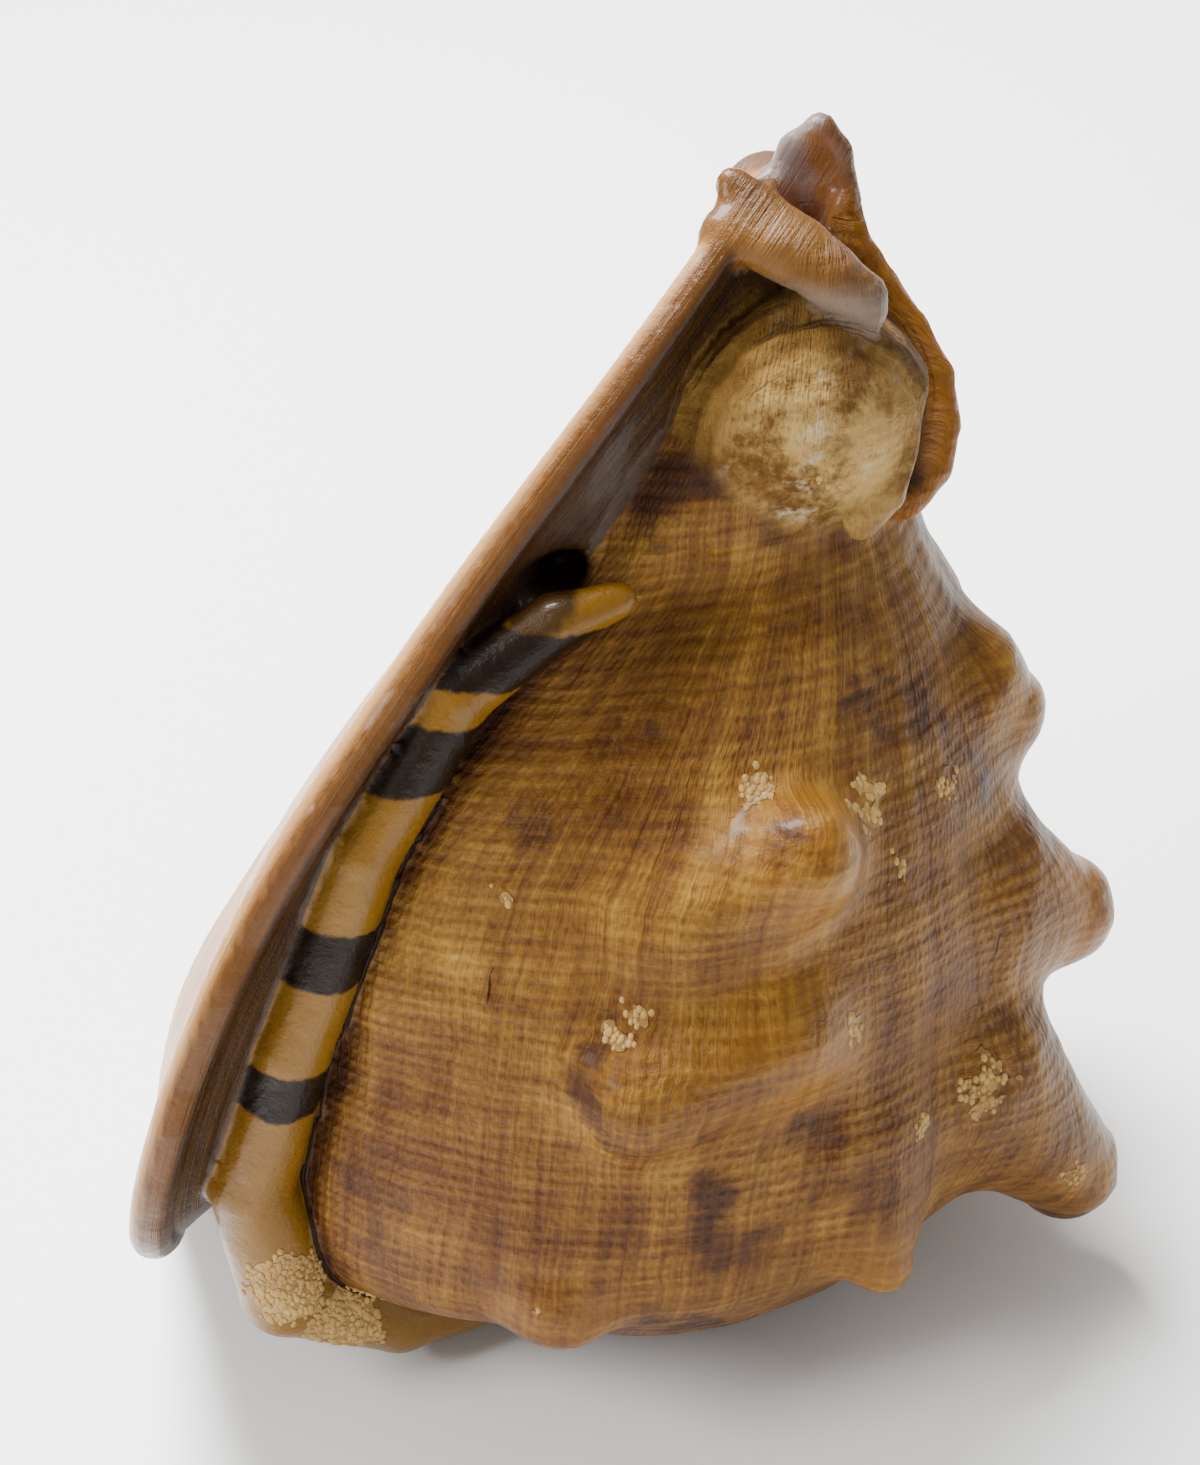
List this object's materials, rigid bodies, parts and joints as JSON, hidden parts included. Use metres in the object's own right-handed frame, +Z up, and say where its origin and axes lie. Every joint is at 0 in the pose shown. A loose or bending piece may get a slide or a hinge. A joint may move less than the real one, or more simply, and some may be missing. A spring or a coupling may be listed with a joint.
{
  "type": "horned helmet shell",
  "caption": "Large heavy sea-snail shell with a flat parietal shield, a narrow toothed aperture, a recurved canal and rows of blunt horns, standing on its low spire",
  "frame": {"origin": "Middle of the shell's bounding box, on the ground plane that it rests on", "axes": "+Z up from the low spire to the siphonal canal, +X towards the dorsal horns, -X towards the flat face with the aperture, +Y towards the outer lip, -Y towards the parietal side"},
  "size_m": [0.199, 0.168, 0.2135],
  "materials": {
    "shell": "ochre to dark brown weathered shell with a satin glaze on the horns and the shield"
  },
  "bodies": {
    "root": {"shell": "shell"}
  },
  "joints": []
}
